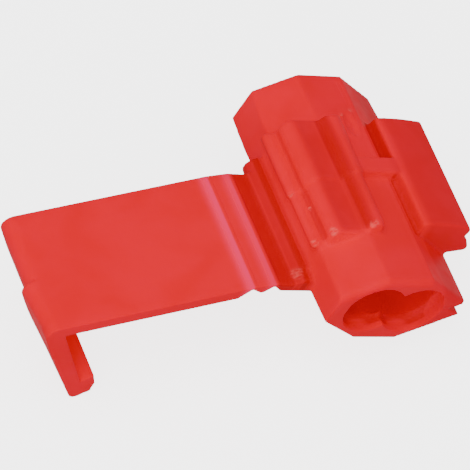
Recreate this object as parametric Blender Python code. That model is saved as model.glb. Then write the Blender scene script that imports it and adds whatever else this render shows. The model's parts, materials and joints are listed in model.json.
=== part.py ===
"""Snap-lock T-tap wire connector, lying open on a table.

The plastic is one moulding that bends at two living hinges, so it is built as three
solids that meet at the hinge lines: the housing, the short hinge link and the cover
strap with its latch hook. The fourth solid is the tinned U contact.

Lengths are in metres. Every piece is drawn in the body's own frame: X runs across the
two bores from the hinge side to the latch side, Y runs along the bores away from the
near mouth, Z points up through the ribbed saddle. At the end the whole connector is
turned about Y until it lies on its hook and its contact, as it does on a table.
"""

import math

import bmesh
import bpy
from mathutils import Matrix, Vector

MM = 0.001

# Body: an eight-sided bar with two bores side by side
BODY_LENGTH = 18.5 * MM
BODY_WIDTH = 10.9 * MM
BODY_HEIGHT = 6.2 * MM
TOP_FLAT_WIDTH = 3.8 * MM
TOP_FLAT_SHIFT = -0.5 * MM
BOTTOM_FLAT_WIDTH = 3.4 * MM
BOTTOM_FLAT_SHIFT = -0.3 * MM
HINGE_SIDE_FLAT = 2.5 * MM
HINGE_SIDE_SHIFT = -0.1 * MM
HINGE_SIDE_FAR_GROWTH = 0.5 * MM
LATCH_SIDE_FLAT = 1.2 * MM
LATCH_SIDE_SHIFT = 0.25 * MM
FAR_TAPER_LENGTH = 3.0 * MM
FAR_TAPER = 0.25 * MM
NEAR_RIM_RADIUS = 0.5 * MM

# Bores: the tap wire's is blind, the run wire's goes through and has a side slit
BORE_RADIUS = 1.9 * MM
BORE_SPACING = 3.35 * MM
BORE_SHIFT = -0.36 * MM
MOUTH_FLARE = 0.36 * MM
MOUTH_DEPTH = 0.9 * MM
MOUTH_LEDGE = 0.15 * MM
TAP_BORE_DEPTH = 14.5 * MM
CHANNEL_FLOOR = 1.7 * MM
CHANNEL_END = 1.1 * MM
SLIT_GAP = 0.2 * MM
SLIT_LIP = 0.08 * MM
SLIT_LEAD_IN = 1.1 * MM

# Ribbed saddle on the upper hinge-side corner
SADDLE_NEAR = 4.45 * MM
SADDLE_LENGTH = 10.15 * MM
SADDLE_SEAM = 4.6 * MM
SADDLE_SEAM_STEP = 0.12 * MM
END_DRAFT = 0.12
END_ROUND = 0.15 * MM
END_ROUND_LENGTH = 0.3 * MM
SIDE_RIB_RADIUS = 0.42 * MM
SIDE_RIB_OUTREACH = 0.15 * MM
SIDE_RIB_SETBACK = 0.1 * MM
SIDE_RIB_FALL = 0.07 * MM
GROOVE_SHARE = 0.17
GROOVE_SINK = 0.12 * MM
CORNER_RIB_RADIUS = 0.72 * MM
CORNER_RIB_INSET = 0.25 * MM
SEAT_RISE = 0.05 * MM
SEAT_SAG = 0.06 * MM
TOP_RIB_RADIUS = 0.67 * MM
TOP_RIB_RISE = 0.95 * MM
TOP_RIB_OVERHANG = 0.1 * MM
TOP_RIB_FAR_GROWTH = 0.15 * MM

# Wing: the ledge on the latch side that the hook snaps over
WING_NEAR = 4.4 * MM
WING_LENGTH = 10.3 * MM
WING_RISE = 0.6 * MM
WING_INSET = 3.2 * MM
WING_REACH = 1.15 * MM
WING_SLOPE = 0.3 * MM
WING_EDGE_RADIUS = 0.35 * MM
NOTCH_DEPTH = 0.2 * MM
LEDGE_REACH = 1.75 * MM
LEDGE_HEIGHT = 1.35 * MM

# Bridge between the saddle's top rib and the wing
BRIDGE_NEAR = 9.35 * MM
BRIDGE_LENGTH = 1.4 * MM
BRIDGE_RISE = 0.6 * MM

# Contact tower: fills the lower corners where the contact goes in
TOWER_LENGTH = 4.8 * MM
TOWER_MARGIN = 0.65 * MM

# Root of the cover strap on the hinge side
STRAP_NEAR = 2.95 * MM
STRAP_WIDTH = 9.8 * MM
STRAP_DROP = 1.0 * MM
ROOT_LENGTH = 2.95 * MM
ROOT_THICKNESS = 0.75 * MM
ROOT_SAG = 0.15 * MM
BEAD_RADIUS = 0.92 * MM
BEAD_OUTREACH = 1.1 * MM
BEAD_DROP = 1.25 * MM
BEAD_NEAR = 4.0 * MM
BEAD_LENGTH = 9.7 * MM

# Living hinges and the strap beyond them
WEB_THICKNESS = 0.33 * MM
HINGE_GAP = 0.1 * MM
GROOVE_HALF_ANGLE = math.radians(56)
LINK_LENGTH = 1.65 * MM
LINK_THICKNESS = 0.8 * MM
LINK_FALL = math.radians(13)
PANEL_LENGTH = 13.5 * MM
PANEL_THICKNESS = 1.0 * MM
PANEL_FALL = math.radians(20)

# Latch: a leg on the near half of the panel's end, a short flange on the far half
LEG_WIDTH = 4.3 * MM
LEG_LENGTH = 6.4 * MM
LEG_THICKNESS = 1.2 * MM
LEG_FAR_GROWTH = 0.5 * MM
TIP_FAR_GROWTH = 0.2 * MM
LEG_BELLY = 0.12 * MM
LEG_LEAN = math.radians(17)
LIP_REACH = 1.05 * MM
LIP_HEIGHT = 1.7 * MM
HOOK_RADIUS = 0.55 * MM
EDGE_RADIUS = 0.9 * MM
FLANGE_DEPTH = 2.35 * MM
FLANGE_THICKNESS = 1.35 * MM

# Contact: a U of strip metal with two forked legs
CONTACT_TRAVEL = 1.3 * MM
CONTACT_THICKNESS = 0.6 * MM
CONTACT_LEG_SPACING = 2.6 * MM
CONTACT_MARGIN = 0.1 * MM
CONTACT_TIP_RISE = 0.9 * MM
CONTACT_CLEARANCE = 0.15 * MM
FORK_SLOT = 0.55 * MM
FORK_MOUTH = 1.5 * MM
FORK_LEAD_IN = 0.8 * MM
FORK_SLOT_FLOOR = 1.3 * MM
CONTACT_BEND_RADIUS = 0.5 * MM

ARC_STEPS = 8
SMOOTH_ANGLE = math.radians(28)
BORE_STEPS = 48
FLATNESS = 0.00001 * MM
OVERCUT = 0.5 * MM
BURY = 0.6 * MM

HALF_WIDTH = BODY_WIDTH / 2
HALF_HEIGHT = BODY_HEIGHT / 2
TAP_X = BORE_SHIFT - BORE_SPACING / 2
RUN_X = BORE_SHIFT + BORE_SPACING / 2
CONTACT_HALF_WIDTH = BORE_SPACING / 2 + BORE_RADIUS + CONTACT_MARGIN
CONTACT_Y = SADDLE_NEAR + SADDLE_LENGTH / 2
LINK_AXIS = Vector((-HALF_WIDTH - ROOT_LENGTH, 0, -STRAP_DROP - WEB_THICKNESS))


def clear_scene():
    """Remove whatever the opened file holds."""
    for item in list(bpy.data.objects):
        bpy.data.objects.remove(item, do_unlink=True)


def arc(centre_x, centre_z, radius, start, end, steps=ARC_STEPS):
    """Return points of an arc from one angle to another, both in degrees."""
    points = []
    for step in range(steps + 1):
        angle = math.radians(start + (end - start) * step / steps)
        points.append((centre_x + radius * math.cos(angle), centre_z + radius * math.sin(angle)))
    return points


def sag(start, end, depth, steps=ARC_STEPS):
    """Return points of a shallow curve between two points; a positive depth bulges left of travel."""
    run = Vector(end) - Vector(start)
    side = Vector((-run.y, run.x)).normalized()
    points = []
    for step in range(steps + 1):
        share = step / steps
        point = Vector(start) + run * share + side * depth * 4 * share * (1 - share)
        points.append((point.x, point.y))
    return points


def mesh_object(name, mesh_data):
    """Put a bmesh into a new object of the scene."""
    bmesh.ops.recalc_face_normals(mesh_data, faces=mesh_data.faces)
    mesh = bpy.data.meshes.new(name)
    mesh_data.to_mesh(mesh)
    mesh_data.free()
    item = bpy.data.objects.new(name, mesh)
    bpy.context.scene.collection.objects.link(item)
    return item


def close_strip(shape, corners):
    """Add the face between four corners, as two triangles where it is warped."""
    first, second, third, fourth = corners
    normal = (second.co - first.co).cross(third.co - first.co).normalized()
    if abs(normal.dot(fourth.co - first.co)) > FLATNESS:
        shape.faces.new((first, second, third))
        shape.faces.new((first, third, fourth))
    else:
        shape.faces.new(corners)


def loft(name, rings):
    """Build a closed solid through rings of points, each ring a list of (x, y, z)."""
    shape = bmesh.new()
    loops = [[shape.verts.new(point) for point in ring] for ring in rings]
    for lower, upper in zip(loops, loops[1:]):
        for index in range(len(lower)):
            after = (index + 1) % len(lower)
            close_strip(shape, (lower[index], lower[after], upper[after], upper[index]))
    shape.faces.new(loops[0])
    shape.faces.new(loops[-1])
    return mesh_object(name, shape)


def prism(name, outline, near, far, draft=0.0, base=0.0):
    """Extrude an (x, z) outline along Y; the ends lean inward with height above base."""
    near_ring = [(x, near + draft * max(z - base, 0), z) for x, z in outline]
    far_ring = [(x, far - draft * max(z - base, 0), z) for x, z in outline]
    return loft(name, [near_ring, far_ring])


def box(name, low, high):
    """Build an upright block between two corners."""
    outline = [(low[0], low[2]), (high[0], low[2]), (high[0], high[2]), (low[0], high[2])]
    return prism(name, outline, low[1], high[1])


def combine(target, tools, operation):
    """Fuse or cut the target with each tool in turn and drop the tools."""
    for tool in tools:
        change = target.modifiers.new(tool.name, "BOOLEAN")
        change.operation = operation
        change.solver = "EXACT"
        change.object = tool
        depsgraph = bpy.context.evaluated_depsgraph_get()
        result = bpy.data.meshes.new_from_object(target.evaluated_get(depsgraph))
        target.modifiers.clear()
        spent = target.data
        target.data = result
        bpy.data.meshes.remove(spent)
        bpy.data.objects.remove(tool, do_unlink=True)
    return target


def body_outline(narrowing=0.0, growth=0.0):
    """Return the body's eight corners, from the lower hinge-side one round over the top."""
    half = HALF_WIDTH - narrowing
    top_left = TOP_FLAT_SHIFT - TOP_FLAT_WIDTH / 2
    bottom_left = BOTTOM_FLAT_SHIFT - BOTTOM_FLAT_WIDTH / 2
    return [
        (-half, HINGE_SIDE_SHIFT - HINGE_SIDE_FLAT / 2 - growth),
        (-half, HINGE_SIDE_SHIFT + HINGE_SIDE_FLAT / 2),
        (top_left, HALF_HEIGHT),
        (top_left + TOP_FLAT_WIDTH, HALF_HEIGHT),
        (half, LATCH_SIDE_SHIFT + LATCH_SIDE_FLAT / 2),
        (half, LATCH_SIDE_SHIFT - LATCH_SIDE_FLAT / 2),
        (bottom_left + BOTTOM_FLAT_WIDTH, -HALF_HEIGHT),
        (bottom_left, -HALF_HEIGHT),
    ]


def build_body():
    """Build the eight-sided bar with its tapered far end and soft near rim."""
    rings = []
    for y, narrowing in ((0, 0), (BODY_LENGTH - FAR_TAPER_LENGTH, 0), (BODY_LENGTH, FAR_TAPER)):
        growth = HINGE_SIDE_FAR_GROWTH * y / BODY_LENGTH
        rings.append([(x, y, z) for x, z in body_outline(narrowing, growth)])
    body = loft("housing", rings)
    shape = bmesh.new()
    shape.from_mesh(body.data)
    rim = []
    for edge in shape.edges:
        middle = (edge.verts[0].co + edge.verts[1].co) / 2
        if max(v.co.y for v in edge.verts) < BURY / 2 and middle.z > HINGE_SIDE_FLAT / 2:
            rim.append(edge)
    bmesh.ops.bevel(shape, geom=rim, offset=NEAR_RIM_RADIUS, segments=4, profile=0.5, affect="EDGES")
    shape.to_mesh(body.data)
    shape.free()
    return body


def corner_line(share):
    """Return a point on the hinge-side upper chamfer, 0 at its foot and 1 at the top flat."""
    foot = Vector(body_outline()[1])
    head = Vector(body_outline()[2])
    return foot + (head - foot) * share


def saddle_outline(growth, rib_radius):
    """Return the section of the corner rib, the sagging seat and the top rib."""
    groove = corner_line(GROOVE_SHARE)
    lower = corner_line(0) + Vector((BURY, -BURY))
    corner_x = -HALF_WIDTH + CORNER_RIB_INSET + CORNER_RIB_RADIUS
    corner_z = HALF_HEIGHT + SEAT_RISE - CORNER_RIB_RADIUS
    outline = [(lower.x, lower.y), (groove.x - growth, groove.y - GROOVE_SINK)]
    outline += arc(corner_x, corner_z, CORNER_RIB_RADIUS + growth, 195, 90)
    wall = body_outline()[2][0] - TOP_RIB_OVERHANG - growth
    seat_z = HALF_HEIGHT + SEAT_RISE + growth
    outline += sag(outline[-1], (wall - SEAT_SAG * 2, seat_z), -SEAT_SAG)[1:]
    outline.append((wall - SEAT_SAG / 2, seat_z + SEAT_SAG))
    crest = HALF_HEIGHT + TOP_RIB_RISE + growth
    rib = arc(wall + rib_radius, crest - rib_radius, rib_radius, 180, 0)
    outline += rib
    outline.append((rib[-1][0], HALF_HEIGHT - BURY))
    outline.append((body_outline()[2][0], HALF_HEIGHT - 1.5 * BURY))
    return outline


def side_rib_outline(growth):
    """Return the section of the rib along the top of the hinge side."""
    foot = corner_line(0)
    outline = arc(foot.x - SIDE_RIB_OUTREACH, foot.y, SIDE_RIB_RADIUS + growth, 260, 80)
    outline.append((foot.x + 1.5 * BURY, foot.y + SIDE_RIB_RADIUS - SIDE_RIB_FALL + growth / 2))
    outline.append((foot.x + 1.5 * BURY, outline[0][1]))
    return outline


def rib_piece(name, near_outlines, far_outlines, setback):
    """Build one near half with its rounded end and one far half with its drafted end."""
    near = SADDLE_NEAR + setback
    middle = SADDLE_NEAR + SADDLE_SEAM + setback / 4
    far = SADDLE_NEAR + SADDLE_LENGTH - setback
    slim, full = near_outlines
    near_half = loft(name + "_near", [
        [(x, near, z) for x, z in slim],
        [(x, near + END_ROUND_LENGTH, z) for x, z in full],
        [(x, middle + BURY, z) for x, z in full],
    ])
    start, end = far_outlines
    far_half = loft(name + "_far", [
        [(x, middle, z) for x, z in start],
        [(x, far - END_DRAFT * max(z - HINGE_SIDE_SHIFT, 0), z) for x, z in end],
    ])
    return [near_half, far_half]


def build_saddle():
    """Build the ribbed saddle as two half lengths that differ by the mould's seam step."""
    step = SADDLE_SEAM_STEP
    radius = TOP_RIB_RADIUS
    block = rib_piece(
        "saddle",
        (saddle_outline(-END_ROUND, radius - END_ROUND), saddle_outline(0, radius)),
        (saddle_outline(step, radius + step), saddle_outline(step, radius + step + TOP_RIB_FAR_GROWTH)),
        0,
    )
    side = rib_piece(
        "side_rib",
        (side_rib_outline(-END_ROUND), side_rib_outline(0)),
        (side_rib_outline(step), side_rib_outline(step)),
        SIDE_RIB_SETBACK,
    )
    return block + side


def wing_outline():
    """Return the wing's section: top, rounded edge, notch, ledge and the face on the body."""
    edge = body_outline()[4]
    top = HALF_HEIGHT + WING_RISE
    left = HALF_WIDTH - WING_INSET
    right = HALF_WIDTH + WING_REACH
    edge_z = top - WING_SLOPE - WING_EDGE_RADIUS
    ledge = HALF_WIDTH + LEDGE_REACH
    outline = arc(left + WING_EDGE_RADIUS, top - WING_EDGE_RADIUS, WING_EDGE_RADIUS, 180, 100, 4)
    outline += sag(outline[-1], (right - WING_EDGE_RADIUS, top - WING_SLOPE), NOTCH_DEPTH / 2)[1:]
    outline += arc(right - WING_EDGE_RADIUS, edge_z, WING_EDGE_RADIUS, 80, -20, 4)
    outline.append((right - NOTCH_DEPTH, edge[1] + LEDGE_HEIGHT + NOTCH_DEPTH))
    outline.append((right + NOTCH_DEPTH, edge[1] + LEDGE_HEIGHT))
    outline += arc(ledge - WING_EDGE_RADIUS, edge[1] + LEDGE_HEIGHT / 2, WING_EDGE_RADIUS, 20, -70, 4)
    outline.append((edge[0], edge[1]))
    outline.append((edge[0] - BURY, edge[1] - SLIT_LIP / 2))
    outline.append((left, HALF_HEIGHT - BURY * 2))
    return outline


def build_wing():
    """Build the wing along the latch-side chamfer."""
    base = body_outline()[4][1]
    return prism("wing", wing_outline(), WING_NEAR, WING_NEAR + WING_LENGTH, END_DRAFT, base)


def build_bridge():
    """Build the strip that ties the saddle's top rib to the wing."""
    left = body_outline()[2][0] - TOP_RIB_OVERHANG + TOP_RIB_RADIUS
    right = HALF_WIDTH - WING_INSET + BURY
    return box("bridge", (left, BRIDGE_NEAR, HALF_HEIGHT - BURY),
               (right, BRIDGE_NEAR + BRIDGE_LENGTH, HALF_HEIGHT + BRIDGE_RISE - WING_EDGE_RADIUS / 8))


def build_strap_root():
    """Build the plate that carries the first living hinge and the bead behind it."""
    axis = LINK_AXIS
    under = ROOT_THICKNESS - WEB_THICKNESS
    flank = under * math.tan(GROOVE_HALF_ANGLE)
    left = axis.x + HINGE_GAP / 2
    top = axis.z + WEB_THICKNESS
    rise_start = (-HALF_WIDTH - BEAD_OUTREACH - BEAD_RADIUS, top)
    rise_end = (-HALF_WIDTH - BEAD_OUTREACH * 0.7, -BEAD_DROP + BEAD_RADIUS * 0.75)
    outline = [(left, axis.z), (left, top)]
    outline += sag(rise_start, rise_end, -ROOT_SAG)
    outline += [
        (-HALF_WIDTH + BURY, rise_end[1]),
        (-HALF_WIDTH + BURY, axis.z - under),
        (left + flank, axis.z - under),
    ]
    plate = prism("strap_root", outline, STRAP_NEAR, STRAP_NEAR + STRAP_WIDTH)
    bead_x = -HALF_WIDTH - BEAD_OUTREACH + BEAD_RADIUS
    round_part = arc(bead_x, -BEAD_DROP, BEAD_RADIUS, 290, 70, 12)
    bead_outline = round_part + [(-HALF_WIDTH + BURY, round_part[-1][1]), (-HALF_WIDTH + BURY, round_part[0][1])]
    bead = prism("bead", bead_outline, BEAD_NEAR, BEAD_NEAR + BEAD_LENGTH)
    return [plate, bead]


def build_tower():
    """Build the block under the body that guides the contact."""
    half = CONTACT_HALF_WIDTH + CONTACT_CLEARANCE + TOWER_MARGIN
    return box("tower", (BORE_SHIFT - half, CONTACT_Y - TOWER_LENGTH / 2, -HALF_HEIGHT),
               (BORE_SHIFT + half, CONTACT_Y + TOWER_LENGTH / 2, HINGE_SIDE_SHIFT))


def bore_cutter(name, centre, far, through):
    """Build the cutter of one bore, with a wider lead-in at each mouth."""
    wide = BORE_RADIUS + MOUTH_FLARE
    sizes = [(-OVERCUT, wide), (MOUTH_DEPTH, wide), (MOUTH_DEPTH + MOUTH_LEDGE, BORE_RADIUS)]
    if through:
        sizes.append((far - MOUTH_DEPTH - MOUTH_LEDGE, BORE_RADIUS))
        sizes.append((far - MOUTH_DEPTH, wide))
        sizes.append((far + OVERCUT, wide))
    else:
        sizes.append((far, BORE_RADIUS))
    rings = []
    for y, radius in sizes:
        ring = []
        for step in range(BORE_STEPS):
            angle = 2 * math.pi * (step + 0.5) / BORE_STEPS
            ring.append((centre + radius * math.cos(angle), y, radius * math.sin(angle)))
        rings.append(ring)
    return loft(name, rings)


def channel_cutter():
    """Build the cutter that lowers the ridge between the two bores behind their mouths."""
    return box("channel", (TAP_X, MOUTH_DEPTH + MOUTH_LEDGE, -CHANNEL_FLOOR),
               (RUN_X, TAP_BORE_DEPTH - CHANNEL_END, -BORE_RADIUS / 4))


def slit_cutter():
    """Build the cutter of the side slit with its flared entry."""
    upper_z = LATCH_SIDE_SHIFT + LATCH_SIDE_FLAT / 2 - SLIT_LIP
    lower_z = LATCH_SIDE_SHIFT - LATCH_SIDE_FLAT / 2 + SLIT_LIP
    upper_gap = LATCH_SIDE_SHIFT + SLIT_GAP / 2
    lower_gap = LATCH_SIDE_SHIFT - SLIT_GAP / 2
    throat = HALF_WIDTH - SLIT_LEAD_IN
    beyond = 1 + OVERCUT / SLIT_LEAD_IN
    outline = [
        (RUN_X + BORE_RADIUS / 2, lower_gap),
        (throat, lower_gap),
        (HALF_WIDTH + OVERCUT, lower_gap + (lower_z - lower_gap) * beyond),
        (HALF_WIDTH + OVERCUT, upper_gap + (upper_z - upper_gap) * beyond),
        (throat, upper_gap),
        (RUN_X + BORE_RADIUS / 2, upper_gap),
    ]
    return prism("slit", outline, -OVERCUT, BODY_LENGTH + OVERCUT)


def contact_cutters():
    """Build the cutters of the contact's two leg slots and of the recess for its back."""
    half = CONTACT_HALF_WIDTH + CONTACT_CLEARANCE
    low = -HALF_HEIGHT - OVERCUT
    reach = CONTACT_THICKNESS / 2 + CONTACT_CLEARANCE
    cutters = []
    for side, name in ((-1, "near_leg_slot"), (1, "far_leg_slot")):
        middle = CONTACT_Y + side * CONTACT_LEG_SPACING / 2
        cutters.append(box(name, (BORE_SHIFT - half, middle - reach, low),
                           (BORE_SHIFT + half, middle + reach, CONTACT_TIP_RISE + CONTACT_CLEARANCE)))
    back = CONTACT_LEG_SPACING / 2 + reach
    cutters.append(box("back_recess", (BORE_SHIFT - half, CONTACT_Y - back, low),
                       (BORE_SHIFT + half, CONTACT_Y + back, -HALF_HEIGHT + CONTACT_THICKNESS + CONTACT_CLEARANCE)))
    return cutters


def build_housing():
    """Build the moulded housing with everything that belongs to its body."""
    housing = build_body()
    additions = build_saddle() + [build_wing(), build_bridge()] + build_strap_root() + [build_tower()]
    combine(housing, additions, "UNION")
    cuts = [bore_cutter("tap_bore", TAP_X, TAP_BORE_DEPTH, False), bore_cutter("run_bore", RUN_X, BODY_LENGTH, True)]
    cuts += [channel_cutter(), slit_cutter()]
    combine(housing, cuts + contact_cutters(), "DIFFERENCE")
    return housing


def strap_point(fall, along, up):
    """Turn a place along and above a strap that falls away to the left into an (x, z) pair."""
    return (-along * math.cos(fall) - up * math.sin(fall), -along * math.sin(fall) + up * math.cos(fall))


def build_link():
    """Build the bar between the two living hinges, with its origin on the first one."""
    under = LINK_THICKNESS - WEB_THICKNESS
    flank = under * math.tan(GROOVE_HALF_ANGLE)
    places = [
        (HINGE_GAP / 2, 0), (HINGE_GAP / 2, WEB_THICKNESS),
        (LINK_LENGTH - HINGE_GAP / 2, WEB_THICKNESS), (LINK_LENGTH - HINGE_GAP / 2, 0),
        (LINK_LENGTH - flank, -under), (flank, -under),
    ]
    outline = [strap_point(LINK_FALL, along, up) for along, up in places]
    link = prism("hinge_link", outline, STRAP_NEAR, STRAP_NEAR + STRAP_WIDTH)
    link.location = LINK_AXIS
    return link


def cover_axis():
    """Return the second living hinge's place in the body's frame."""
    x, z = strap_point(LINK_FALL, LINK_LENGTH, 0)
    return LINK_AXIS + Vector((x, 0, z))


def leg_point(down, out):
    """Return the panel-frame place of a point on the leg, from the panel's inner corner."""
    along = PANEL_LENGTH - down * math.sin(LEG_LEAN) + out * math.cos(LEG_LEAN)
    up = WEB_THICKNESS - PANEL_THICKNESS - down * math.cos(LEG_LEAN) - out * math.sin(LEG_LEAN)
    return (along, up)


def edge_round(thickness):
    """Return the rounded corner from the panel's top to the leg's outer face."""
    along, up = leg_point(0, thickness)
    lean = math.degrees(LEG_LEAN)
    centre_up = WEB_THICKNESS - EDGE_RADIUS
    shift = (up - centre_up + EDGE_RADIUS * math.sin(LEG_LEAN)) * math.tan(LEG_LEAN)
    centre_along = along - shift - EDGE_RADIUS * math.cos(LEG_LEAN)
    return arc(centre_along, centre_up, EDGE_RADIUS, 90, -lean)


def hook_outline(thickness, tip_thickness):
    """Return the panel-frame outline of the rolled edge, the leg and its inward lip."""
    under = PANEL_THICKNESS - WEB_THICKNESS
    outline = [leg_point(0, 0), leg_point(LEG_LENGTH, 0)]
    outline.append(leg_point(LEG_LENGTH - LIP_REACH / 8, -LIP_REACH))
    outline.append(leg_point(LEG_LENGTH + LIP_HEIGHT / 2, -LIP_REACH * 0.9))
    outline.append(leg_point(LEG_LENGTH + LIP_HEIGHT * 0.95, -LIP_REACH * 0.45))
    centre = (LEG_LENGTH + LIP_HEIGHT - HOOK_RADIUS, tip_thickness - HOOK_RADIUS * 1.2)
    outline += [leg_point(centre[0] + down, centre[1] + out) for out, down in arc(0, 0, HOOK_RADIUS, 110, 10, 5)]
    rounded = edge_round(thickness)
    end = leg_point(LEG_LENGTH, tip_thickness - LEG_BELLY)
    outline += list(reversed(sag(rounded[-1], end, LEG_BELLY)))[1:-1]
    outline += list(reversed(rounded))
    outline += [(PANEL_LENGTH - PANEL_THICKNESS, WEB_THICKNESS), (PANEL_LENGTH - PANEL_THICKNESS, -under)]
    return outline


def build_latch():
    """Build the latch leg, thicker towards the strap's middle than at its near edge."""
    rings = []
    for y, growth, tip in ((STRAP_NEAR, 0, 0), (STRAP_NEAR + LEG_WIDTH, LEG_FAR_GROWTH, TIP_FAR_GROWTH)):
        ring = []
        for along, up in hook_outline(LEG_THICKNESS + growth, LEG_THICKNESS + tip):
            x, z = strap_point(PANEL_FALL, along, up)
            ring.append((x, y, z))
        rings.append(ring)
    return loft("latch", rings)


def build_cover():
    """Build the strap panel with its rolled edge and latch hook, origin on its hinge."""
    under = PANEL_THICKNESS - WEB_THICKNESS
    flank = under * math.tan(GROOVE_HALF_ANGLE)
    panel = [(HINGE_GAP / 2, 0), (HINGE_GAP / 2, WEB_THICKNESS)]
    panel += edge_round(FLANGE_THICKNESS)
    panel += [leg_point(FLANGE_DEPTH, FLANGE_THICKNESS), leg_point(FLANGE_DEPTH, FLANGE_THICKNESS / 4)]
    panel += [leg_point(0, 0), (flank, -under)]
    cover = prism("cover", [strap_point(PANEL_FALL, along, up) for along, up in panel],
                  STRAP_NEAR, STRAP_NEAR + STRAP_WIDTH)
    combine(cover, [build_latch()], "UNION")
    cover.location = cover_axis()
    return cover


def build_contact():
    """Build the U contact, standing proud of the tower by its travel."""
    low = -HALF_HEIGHT - CONTACT_TRAVEL
    back_top = low + CONTACT_THICKNESS
    tip = CONTACT_TIP_RISE - CONTACT_TRAVEL
    half_span = CONTACT_LEG_SPACING / 2 + CONTACT_THICKNESS / 2
    inner_span = half_span - CONTACT_THICKNESS
    bend = CONTACT_BEND_RADIUS
    section = [(-half_span, tip)]
    section += [(-half_span + bend - bend * math.cos(a), low + bend - bend * math.sin(a))
                for a in (math.radians(15 * step) for step in range(7))]
    section += [(half_span - bend + bend * math.sin(a), low + bend - bend * math.cos(a))
                for a in (math.radians(15 * step) for step in range(7))]
    section += [(half_span, tip), (inner_span, tip), (inner_span, back_top), (-inner_span, back_top),
                (-inner_span, tip)]
    rings = []
    for x in (BORE_SHIFT - CONTACT_HALF_WIDTH, BORE_SHIFT + CONTACT_HALF_WIDTH):
        rings.append([(x, CONTACT_Y + y, z) for y, z in section])
    contact = loft("contact", rings)
    slots = []
    floor = -FORK_SLOT_FLOOR - CONTACT_TRAVEL
    for centre, name in ((TAP_X, "tap_fork"), (RUN_X, "run_fork")):
        outline = [
            (centre - FORK_SLOT / 2, floor), (centre + FORK_SLOT / 2, floor),
            (centre + FORK_SLOT / 2, tip - FORK_LEAD_IN), (centre + FORK_MOUTH / 2, tip),
            (centre + FORK_MOUTH / 2, tip + OVERCUT), (centre - FORK_MOUTH / 2, tip + OVERCUT),
            (centre - FORK_MOUTH / 2, tip), (centre - FORK_SLOT / 2, tip - FORK_LEAD_IN),
        ]
        slots.append(prism(name, outline, CONTACT_Y - half_span - OVERCUT, CONTACT_Y + half_span + OVERCUT))
    combine(contact, slots, "DIFFERENCE")
    return contact


def shade_round(item):
    """Shade the curved faces smoothly and keep the corners crisp."""
    for polygon in item.data.polygons:
        polygon.use_smooth = True
    item.data.set_sharp_from_angle(angle=SMOOTH_ANGLE)


def plastic_material():
    """Return the red, slightly translucent moulding plastic."""
    material = bpy.data.materials.new("red_plastic")
    material.use_nodes = True
    shader = material.node_tree.nodes["Principled BSDF"]
    shader.inputs["Base Color"].default_value = (0.9, 0.035, 0.04, 1)
    shader.inputs["Roughness"].default_value = 0.38
    return material


def metal_material():
    """Return the tinned brass of the contact."""
    material = bpy.data.materials.new("tinned_brass")
    material.use_nodes = True
    shader = material.node_tree.nodes["Principled BSDF"]
    shader.inputs["Base Color"].default_value = (0.75, 0.74, 0.7, 1)
    shader.inputs["Roughness"].default_value = 0.3
    shader.inputs["Metallic"].default_value = 1
    return material


def lowest_height(pieces, turn, keep):
    """Return the lowest height of the kept points after a turn about Y."""
    rotation = Matrix.Rotation(turn, 3, "Y")
    heights = []
    for item in pieces:
        for vertex in item.data.vertices:
            place = item.location + vertex.co
            if keep(place):
                heights.append((rotation @ place).z)
    return min(heights)


def rest_turn(pieces):
    """Return the turn about Y at which the hook and the body's side touch the table together."""
    low = 0.0
    high = math.radians(60)
    for _ in range(40):
        turn = (low + high) / 2
        hook = lowest_height(pieces, turn, lambda place: place.x < cover_axis().x)
        body = lowest_height(pieces, turn, lambda place: place.x >= LINK_AXIS.x)
        if hook < body:
            low = turn
        else:
            high = turn
    return (low + high) / 2


def lay_on_table(pieces):
    """Parent every piece to one empty, turned and shifted so that the connector rests on z = 0."""
    turn = rest_turn(pieces)
    rotation = Matrix.Rotation(turn, 3, "Y")
    places = [rotation @ (item.location + vertex.co) for item in pieces for vertex in item.data.vertices]
    low = Vector([min(place[axis] for place in places) for axis in range(3)])
    high = Vector([max(place[axis] for place in places) for axis in range(3)])
    frame = bpy.data.objects.new("rest_frame", None)
    bpy.context.scene.collection.objects.link(frame)
    frame.rotation_euler = (0, turn, 0)
    frame.location = (-(low.x + high.x) / 2, -(low.y + high.y) / 2, -low.z)
    for item in pieces:
        item.parent = frame


def main():
    """Build the connector."""
    clear_scene()
    plastic = plastic_material()
    pieces = [build_housing(), build_link(), build_cover()]
    for item in pieces:
        item.data.materials.clear()
        item.data.materials.append(plastic)
    contact = build_contact()
    contact.data.materials.clear()
    contact.data.materials.append(metal_material())
    pieces.append(contact)
    for item in pieces:
        shade_round(item)
    lay_on_table(pieces)


main()
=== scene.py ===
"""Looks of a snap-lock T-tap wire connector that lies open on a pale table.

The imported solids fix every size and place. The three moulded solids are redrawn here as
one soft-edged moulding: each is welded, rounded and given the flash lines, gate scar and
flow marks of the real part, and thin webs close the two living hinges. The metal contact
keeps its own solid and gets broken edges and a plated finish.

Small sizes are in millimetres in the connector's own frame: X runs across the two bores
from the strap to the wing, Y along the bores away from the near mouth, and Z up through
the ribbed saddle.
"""

import json
import logging
import math
from dataclasses import dataclass
from enum import Enum
from typing import Iterable, Sequence

import bmesh
import bpy
from mathutils import Matrix, Vector, noise
from mathutils.bvhtree import BVHTree


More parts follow.
